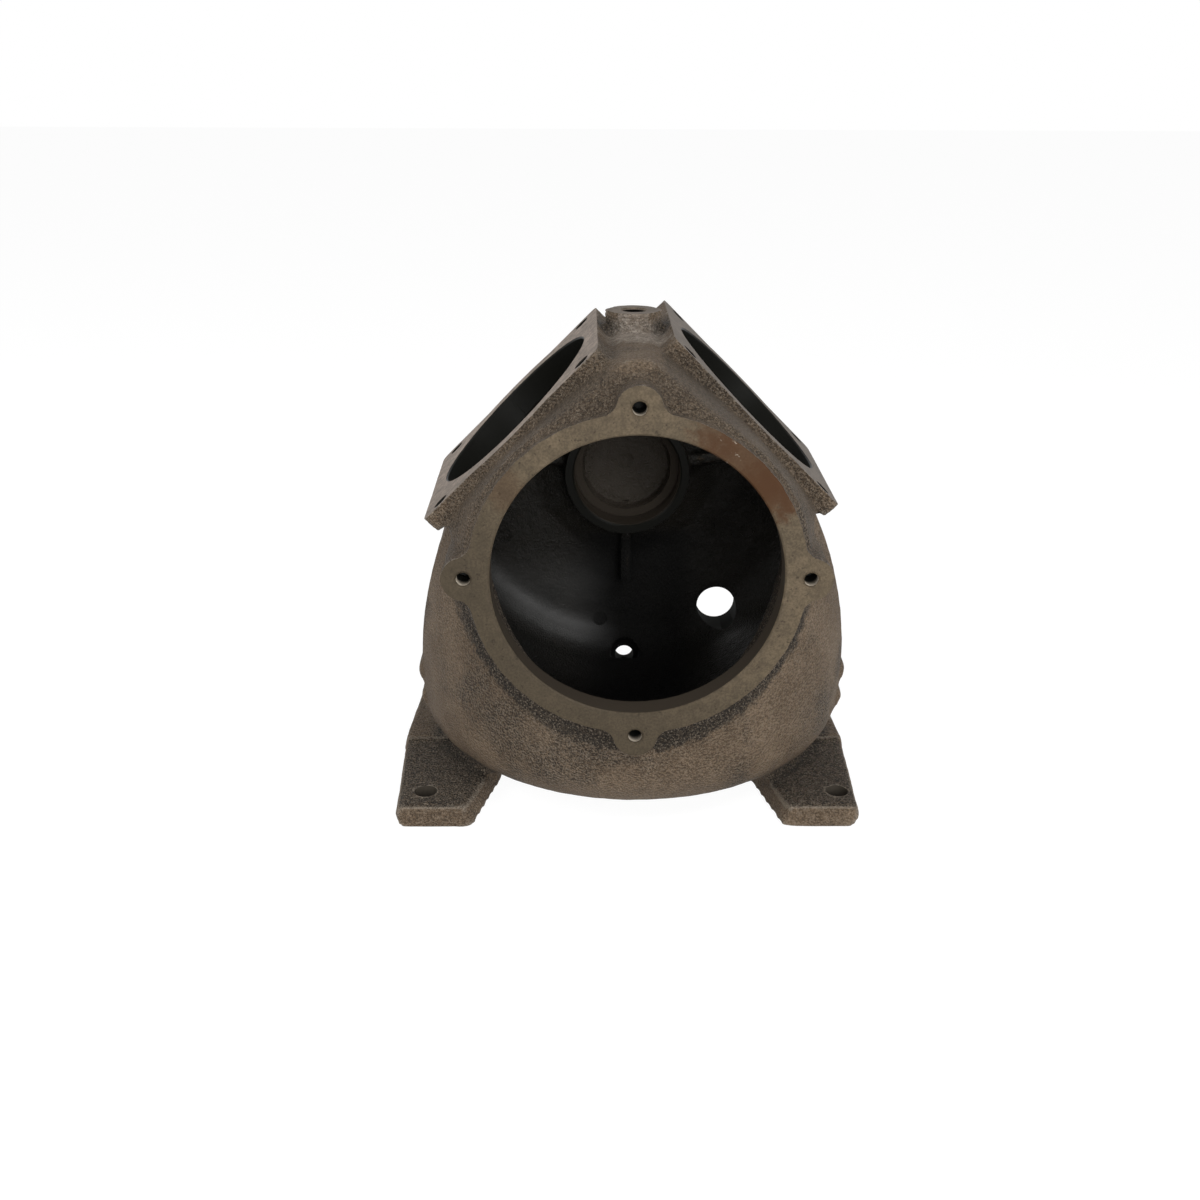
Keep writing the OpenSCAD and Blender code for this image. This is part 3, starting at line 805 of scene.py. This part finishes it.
class CastSkin:
    """Masks of the cast skin, from its place, its facing and what is stored on its points."""

    def __init__(self, n, place):
        self.n = n
        self.place = place
        self.x, self.y, self.z = n.split(place)
        self.facing_up = n.split(n.add("ShaderNodeNewGeometry").outputs["Normal"])[2]
        self.axle = n.radius(self.x, self.z)
        self.corner = n.attribute("corner")
        self.edge = n.attribute("edge")
        self.inside = n.step(n.attribute("shelter"), 0.60, 0.80)
        self.grain = place_group(n, iron_grain_group(), place, Fine=0.4, Coarse=1.0)
        self.foot_top = self.find_foot_top()
        self.crease = self.find_crease()
        self.rough = self.find_rough()
        self.middle = self.find_middle()

    def find_foot_top(self):
        """Tops of the feet, mostly in front of the parting plane."""
        n = self.n
        low = n.fade(self.z, FOOT_TOP_Z + 0.0015, FOOT_TOP_Z + 0.0155)
        ahead = n.step(self.y, PARTING_Y - 0.0015, PARTING_Y + 0.0015, 1.0, 0.20)
        return n.product(low, n.step(self.facing_up, 0.6, 0.9), ahead)

    def foot_sides(self):
        """Fronts and sides of the feet."""
        n = self.n
        below = n.fade(self.z, FOOT_TOP_Z - 0.0011, FOOT_TOP_Z + 0.0001)
        return n.math("MULTIPLY", below, n.fade(self.facing_up, 0.45, 0.80))

    def find_crease(self):
        """Crease where the skin meets the ring, mostly under it, with a ragged edge: where painted
        shade goes, and coarse grain.
        """
        n = self.n
        wander = n.math("MULTIPLY", n.noise(self.place, 150, 3, 0.7), 0.010)
        reach = n.math("SUBTRACT", self.axle, n.math("MULTIPLY", self.y, 0.07))
        near = n.fade(n.math("ADD", reach, wander), 0.0975, 0.1015)
        return n.product(near, n.fade(self.y, 0.050, 0.085), n.step(self.z, -0.03, 0.02, 1.0, 0.35))

    def find_rough(self):
        """Coarse places: foot tops, corners, the crease and wide patches."""
        n = self.n
        patches = n.math("MULTIPLY", n.step(n.noise(self.place, 21, 3, 0.6), 0.47, 0.66), 0.75)
        rough = n.highest(self.foot_top, n.step(self.corner, 0.04, 0.30), self.crease, patches)
        return n.math("MULTIPLY", rough, n.flip(n.math("MULTIPLY", self.foot_sides(), 0.85)))

    def find_middle(self):
        """Middle of the inside of the rear wall, which is painted black as shade."""
        n = self.n
        across = n.math("ABSOLUTE", n.math("SUBTRACT", self.x, 0.008), 0.0)
        return n.product(n.fade(across, 0.020, 0.050), self.inside, n.fade(self.z, -0.045, -0.037))

    def foot_rim_highlight(self):
        """Thin pale line along the upper edges of the feet: a painted highlight on edges that face
        up, with some wear.
        """
        n = self.n
        return n.product(
            n.band(self.facing_up, 0.48, 0.62, 0.74, 0.90),
            n.band(self.z, FOOT_TOP_Z - 0.0050, FOOT_TOP_Z - 0.0035,
                   FOOT_TOP_Z + 0.0055, FOOT_TOP_Z + 0.0075),
            n.fade(self.y, 0.070, 0.085), n.step(self.edge, 0.02, 0.07), 0.8)

    def seam_highlight(self):
        """Pale line on the feet where the halves of the mould met: a painted highlight on the small
        step of the parting line.
        """
        n = self.n
        wander = n.math("SUBTRACT", n.noise(self.place, 40, 2, 0.6), 0.5)
        wavy = n.math("ADD", self.y, n.math("MULTIPLY", wander, 0.004))
        line = n.band(wavy, PARTING_Y - 0.0010, PARTING_Y, PARTING_Y + 0.0002, PARTING_Y + 0.0014)
        return n.product(line, 0.85, n.fade(self.z, FOOT_TOP_Z + 0.0075, FOOT_TOP_Z + 0.0135))

    def rubbed_and_highlit(self):
        """Worn edges, and the painted highlights along the rims of the feet and the parting line."""
        n = self.n
        flecks = self.grain["Flecks"]
        edges = n.math("MULTIPLY", n.step(self.edge, 0.18, 0.6), n.step(flecks, 0.35, 0.6, 0.3, 1.0))
        lines = n.math("MULTIPLY", n.highest(self.foot_rim_highlight(), self.seam_highlight()),
                       n.step(flecks, 0.3, 0.5, 0.4, 1.0))
        return n.highest(edges, lines)

    def saddle(self):
        """Scraped patch on the saddle in front of the filler boss."""
        n = self.n
        return n.product(stain(n, self.place, (0.001, 0.078, 0.097), 0.024),
                         n.step(n.noise(self.place, 420, 4, 0.75), 0.42, 0.62, 0.35, 1.0),
                         n.step(self.z, 0.090, 0.0945))

    def recess(self):
        """Recess behind the bearing seat."""
        n = self.n
        return n.math("MULTIPLY", n.band(self.y, 0.188, 0.193, 0.2045, 0.2065),
                      n.fade(self.axle, 0.0275, 0.0300))

    def oily(self):
        """Oily sheen low on the left of the rear wall."""
        n = self.n
        return n.product(n.fade(self.x, -0.035, 0.000), n.step(self.z, -0.080, -0.050, 0.62, 0.0),
                         n.step(self.y, 0.140, 0.165), self.inside)

    def colour(self):
        """Colour of the skin: grains and patches with painted light and shade on the grains and in
        the corners, then wear with painted highlights and stains, then painted shade inside.
        """
        n = self.n
        c = colours()
        dark = tuple(c.skin_dark)
        pits = n.flip(self.grain["Grains"])
        lit = self.grain["Painted light side"]
        share = n.math("ADD", n.math("MULTIPLY", self.rough, 0.26), 0.40)
        flecks = n.step(self.grain["Flecks"], 0.54, 0.68)
        return n.layers(n.mix(self.grain["Patches"], tuple(c.skin), tuple(c.skin_pale)), [
            (n.math("MULTIPLY", pits, 0.26), dark),
            # Darker grains in coarse places; in the corners and the crease this is painted shade
            (n.math("MULTIPLY", self.rough, n.step(pits, 0.05, 0.75, 0.22, 0.82)), dark),
            # Painted shade and painted highlight on the grains, from their light side
            (n.math("MULTIPLY", n.fade(lit, 0.0, 0.5), share), dark),
            (n.product(n.step(lit, 0.5, 1.0), share, 0.60), PAINTED_GRAIN_HIGHLIGHT),
            # Painted shade in the corners and in the crease under the ring
            (n.math("MULTIPLY", n.highest(self.crease, n.step(self.corner, 0.12, 0.40)), 0.66), dark),
            (n.math("MULTIPLY", self.foot_top, 0.30), dark),
            # Painted shade: the upper body, from 60 mm above the crank axis up, a little darker
            (n.step(self.z, 0.060, 0.080, 0.0, 0.20), dark),
            (n.product(flecks, n.math("ADD", self.rough, 0.35), 0.45), FLECK),
            # Worn edges, and painted highlights on the foot rims and the parting line
            (n.math("MULTIPLY", self.rubbed_and_highlit(), 0.75), RUBBED_AND_HIGHLIT),
            (n.math("MULTIPLY", stain(n, self.place, (0.0975, 0.040, -0.099), 0.013), 0.5), OCHRE),
            (self.saddle(), SCRAPED),
            # Painted shade: near black where most rays from a point meet iron
            (n.math("MULTIPLY", self.inside, 0.97), tuple(c.hollow_shade)),
            (self.recess(), RECESS_BROWN),
            # Painted shade: the middle of the rear wall made black
            (n.math("MULTIPLY", self.middle, 0.85), PAINTED_SHADE_BLACK),
        ])

    def roughness(self):
        """Rough skin and a smoother inside, rough again in the middle of the rear wall."""
        n = self.n
        return n.math("ADD", n.step(self.inside, 0.0, 1.0, 0.66, 0.40),
                      n.math("MULTIPLY", self.middle, 0.45))

    def relief(self):
        """Height of the grain, more in coarse places and less inside."""
        n = self.n
        share = n.math("ADD", n.math("MULTIPLY", self.rough, 0.7), 0.85)
        return n.product(self.grain["Height"], share, n.step(self.inside, 0.0, 1.0, 1.0, 0.30))


def cast_material():
    """Rough grey-brown skin: dark grains with painted shade in the corners, pale edges that are
    partly worn and partly painted highlight, and a near-black inside that is painted shade.
    """
    material, n, shader, place = start_material("cast_iron_skin", 0.18)
    skin = CastSkin(n, place)
    n.join(skin.colour(), shader.inputs["Base Color"])
    n.join(skin.roughness(), shader.inputs["Roughness"])
    n.join(skin.oily(), shader.inputs["Coat Weight"])
    shader.inputs["Coat Roughness"].default_value = 0.50
    n.bump(shader, skin.relief(), 1.0, 0.0034)
    return material


class MachinedIron:
    """Masks and colours of the machined faces and bores, from their place alone."""

    def __init__(self, n, place):
        self.n = n
        self.place = place
        self.x, self.y, self.z = n.split(place)
        self.axle = n.radius(self.x, self.z)
        self.grain = place_group(n, iron_grain_group(), place, Fine=0.5, Coarse=0.15)
        # 0 on the ring, 1 on the seats and the filler boss
        self.behind = n.step(self.y, 0.016, 0.022)
        self.boss = n.step(self.z, FILLER.z - 0.0011, FILLER.z - 0.0008)
        self.open_face = n.highest(n.fade(self.y, 0.0010, 0.0014), self.seat(), self.boss)

    def seat(self):
        """The two milled seats."""
        n = self.n
        rise = n.math("MULTIPLY", n.math("ADD", n.math("ABSOLUTE", self.x, 0.0), self.z), SLOPE)
        return n.math("MULTIPLY", n.step(rise, 0.08636, 0.08646), n.step(self.y, 0.016, 0.020))

    def shaded_places(self):
        """Painted shade on the lower left of the ring and on the right seat; the filler boss darker
        too.
        """
        n = self.n
        across = n.math("ADD", self.z, n.math("MULTIPLY", self.x, 0.9))
        faces = n.mix(self.behind, n.step(across, -0.080, 0.040, 0.66, 0.0),
                      n.step(self.x, -0.01, 0.01, 0.0, 0.65))
        return n.highest(faces, n.math("MULTIPLY", self.boss, 0.58))

    def scratches(self):
        """Bright scratches in the rust of the ring."""
        n = self.n
        return n.product(n.step(n.noise(self.place, 260, 3, 0.8), 0.60, 0.66),
                         stain(n, self.place, (0.0445, 0, 0.0665), 0.012), 0.8)

    def face_colour(self):
        """Colour of the open faces, with painted shade, clouds, mottling, specks, rust and scratches.
        """
        n = self.n
        c = colours()
        dark = tuple(c.skin_dark)
        cloud = n.step(n.noise(self.place, 30, 5, 0.65), 0.33, 0.68)
        mottle = n.step(n.noise(self.place, 170, 7, 0.80), 0.42, 0.60)
        specks = n.step(n.noise(self.place, 300, 3, 0.7), 0.60, 0.66)
        coats = [
            # Painted shade on the lower left of the ring and the right seat
            (self.shaded_places(), PAINTED_SHADE_IRON),
            (n.math("MULTIPLY", cloud, 0.38), CLOUDED),
            (n.math("MULTIPLY", n.flip(self.grain["Grains"]), 0.30), dark),
            (n.math("MULTIPLY", mottle, 0.50), MOTTLED),
            (n.math("MULTIPLY", specks, 0.5), dark),
        ]
        for centre, radius, share in RING_RUST:
            mask = n.math("MULTIPLY", stain(n, self.place, centre, radius), share)
            coats.append((mask, tuple(c.rust)))
        coats.append((self.scratches(), SCRATCHED))
        return n.layers(n.mix(self.behind, tuple(c.ring), tuple(c.seat)), coats)

    def bore_colour(self):
        """Colour of the bores and holes, all painted light and shade: black inside, paler where light
        reaches them, a painted glint in the mouths of the flange holes.
        """
        n = self.n
        register = n.math("MULTIPLY", n.fade(self.y, 0.016, 0.018), n.fade(self.axle, 0.0720, 0.0730))
        bearing = n.math("MULTIPLY", n.step(self.y, BEARING.y + 0.0005, BEARING.y + 0.0015),
                         n.fade(self.axle, 0.0335, 0.0345))
        mouth = n.math("MULTIPLY", n.fade(self.y, 0.0020, 0.0080), n.step(self.axle, 0.0735, 0.0740))
        foot_hole = n.math("MULTIPLY", n.fade(self.z, -0.130, -0.126), n.fade(self.y, 0.170, 0.174))
        return n.layers(n.mix(register, tuple(colours().hollow_shade), REGISTER_BAND), [
            (bearing, BEARING_BORE),
            # Painted light on the outer end of the holes in the rear wall
            (n.step(self.y, 0.2085, 0.2095), PAINTED_LIT_BORE),
            # Painted glint in the mouths of the flange holes
            (mouth, PAINTED_MOUTH_GLINT),
            (foot_hole, FOOT_BORE),
        ])

    def roughness(self):
        """Rougher open faces, and rough holes in the rear wall."""
        n = self.n
        return n.math("ADD", n.step(self.open_face, 0.0, 1.0, 0.40, 0.50),
                      n.math("MULTIPLY", n.step(self.y, 0.1800, 0.1950), 0.4))


def machined_material():
    """Turned and milled iron: pale faces with painted shade on some, bores and holes painted dark as
    shade with painted light near their ends, rust stains on the ring.
    """
    material, n, shader, place = start_material("machined_iron", 0.06)
    iron = MachinedIron(n, place)
    n.join(n.mix(iron.open_face, iron.bore_colour(), iron.face_colour()), shader.inputs["Base Color"])
    n.join(iron.roughness(), shader.inputs["Roughness"])
    n.bump(shader, iron.grain["Height"], 0.2, 0.0003)
    return material


def background_rays(n):
    """1 for the rays that show the white background, 0 for those that only carry light."""
    path = n.add("ShaderNodeLightPath")
    mirrored = n.highest(path.outputs["Is Glossy Ray"], path.outputs["Is Transmission Ray"])
    return n.highest(path.outputs["Is Camera Ray"], mirrored)


def floor_material():
    """Pale floor that shows near white and keeps the object's shadow."""
    material = bpy.data.materials.new("floor_white")
    material.use_nodes = True
    tree = material.node_tree
    tree.nodes.clear()
    n = Nodes(tree)
    diffuse = n.add("ShaderNodeBsdfDiffuse")
    diffuse.inputs["Color"].default_value = (*FLOOR_GREY, 1)
    glow = n.add("ShaderNodeEmission")
    glow.inputs["Strength"].default_value = FLOOR_GLOW
    blend = n.add("ShaderNodeMixShader")
    n.join(n.math("MULTIPLY", background_rays(n), FLOOR_WHITE_SHARE), blend.inputs[0])
    n.join(diffuse.outputs[0], blend.inputs[1])
    n.join(glow.outputs[0], blend.inputs[2])
    output = n.add("ShaderNodeOutputMaterial")
    n.join(blend.outputs[0], output.inputs["Surface"])
    return material


class CRANKCASE_OT_stage(bpy.types.Operator):
    """Makes the floor, the studio light and the camera"""

    bl_idname = "crankcase.stage"
    bl_label = "Stage"

    def floor(self):
        bm = bmesh.new()
        bmesh.ops.create_grid(bm, x_segments=1, y_segments=1, size=FLOOR_HALF)
        bmesh.ops.translate(bm, verts=bm.verts, vec=(0, 0, CAD_BOX[0][2]))
        item = new_object("floor", to_mesh(bm, "floor"))
        item.data.materials.append(floor_material())

    def sky(self):
        """White world to the camera and in reflections, and a weak even light."""
        world = bpy.data.worlds.new("studio")
        bpy.context.scene.world = world
        world.use_nodes = True
        n = Nodes(world.node_tree)
        ground = world.node_tree.nodes["Background"]
        strength = n.math("ADD", n.math("MULTIPLY", background_rays(n), 1 - SKY_LIGHT), SKY_LIGHT)
        ground.inputs["Color"].default_value = (1, 1, 1, 1)
        n.join(strength, ground.inputs["Strength"])

    def lamp(self, name, place, aim, size, watts):
        data = bpy.data.lights.new(name, "AREA")
        data.shape = "RECTANGLE"
        data.size, data.size_y = size
        data.energy = watts
        item = bpy.data.objects.new(name, data)
        bpy.context.scene.collection.objects.link(item)
        item.location = place
        item.rotation_euler = (Vector(aim) - Vector(place)).to_track_quat("-Z", "Y").to_euler()

    def camera(self):
        """Camera at the height and the angle that the front view is seen from."""
        away = Vector((math.sin(CAMERA_AZIMUTH) * math.cos(CAMERA_ELEVATION),
                       -math.cos(CAMERA_AZIMUTH) * math.cos(CAMERA_ELEVATION),
                       math.sin(CAMERA_ELEVATION)))
        right = Vector((math.cos(CAMERA_AZIMUTH), math.sin(CAMERA_AZIMUTH), 0))
        up = away.cross(right)
        right_turned = right * math.cos(CAMERA_ROLL) + up * math.sin(CAMERA_ROLL)
        up_turned = up * math.cos(CAMERA_ROLL) - right * math.sin(CAMERA_ROLL)
        turn = Matrix((right_turned, up_turned, away)).transposed()
        data = bpy.data.cameras.new("camera")
        data.sensor_width = SENSOR_MM
        data.lens = FOCAL_PIXELS * SENSOR_MM / PICTURE_PIXELS
        data.clip_start = 0.01
        item = bpy.data.objects.new("camera", data)
        bpy.context.scene.collection.objects.link(item)
        item.matrix_world = Matrix.Translation(CAMERA_PLACE) @ turn.to_4x4()
        bpy.context.scene.camera = item

    def execute(self, context):
        self.floor()
        self.sky()
        for values in LAMPS:
            self.lamp(*values)
        self.camera()
        bpy.context.scene.view_settings.view_transform = "Standard"
        return {"FINISHED"}


class CRANKCASE_PT_panel(bpy.types.Panel):
    """Lists the steps and the sizes"""

    bl_idname = "CRANKCASE_PT_panel"
    bl_label = "Crankcase"
    bl_space_type = "VIEW_3D"
    bl_region_type = "UI"
    bl_category = "Crankcase"

    def draw(self, context):
        layout = self.layout
        for name in ("casting", "machining", "stage"):
            layout.operator("crankcase." + name)
        for group in (context.scene.crankcase_sizes, context.scene.crankcase_colours):
            for name in group.bl_rna.properties.keys():
                if name not in ("rna_type", "name"):
                    layout.prop(group, name)


CLASSES = (CrankcaseSizes, CrankcaseColours, CRANKCASE_OT_casting, CRANKCASE_OT_machining,
           CRANKCASE_OT_stage, CRANKCASE_PT_panel)


def register():
    for item in CLASSES:
        bpy.utils.register_class(item)
    bpy.types.Scene.crankcase_sizes = bpy.props.PointerProperty(type=CrankcaseSizes)
    bpy.types.Scene.crankcase_colours = bpy.props.PointerProperty(type=CrankcaseColours)


def unregister():
    del bpy.types.Scene.crankcase_colours
    del bpy.types.Scene.crankcase_sizes
    for item in reversed(CLASSES):
        bpy.utils.unregister_class(item)


def main():
    register()
    bpy.ops.crankcase.casting()
    bpy.ops.crankcase.machining()
    bpy.ops.crankcase.stage()


if __name__ == "__main__":
    main()
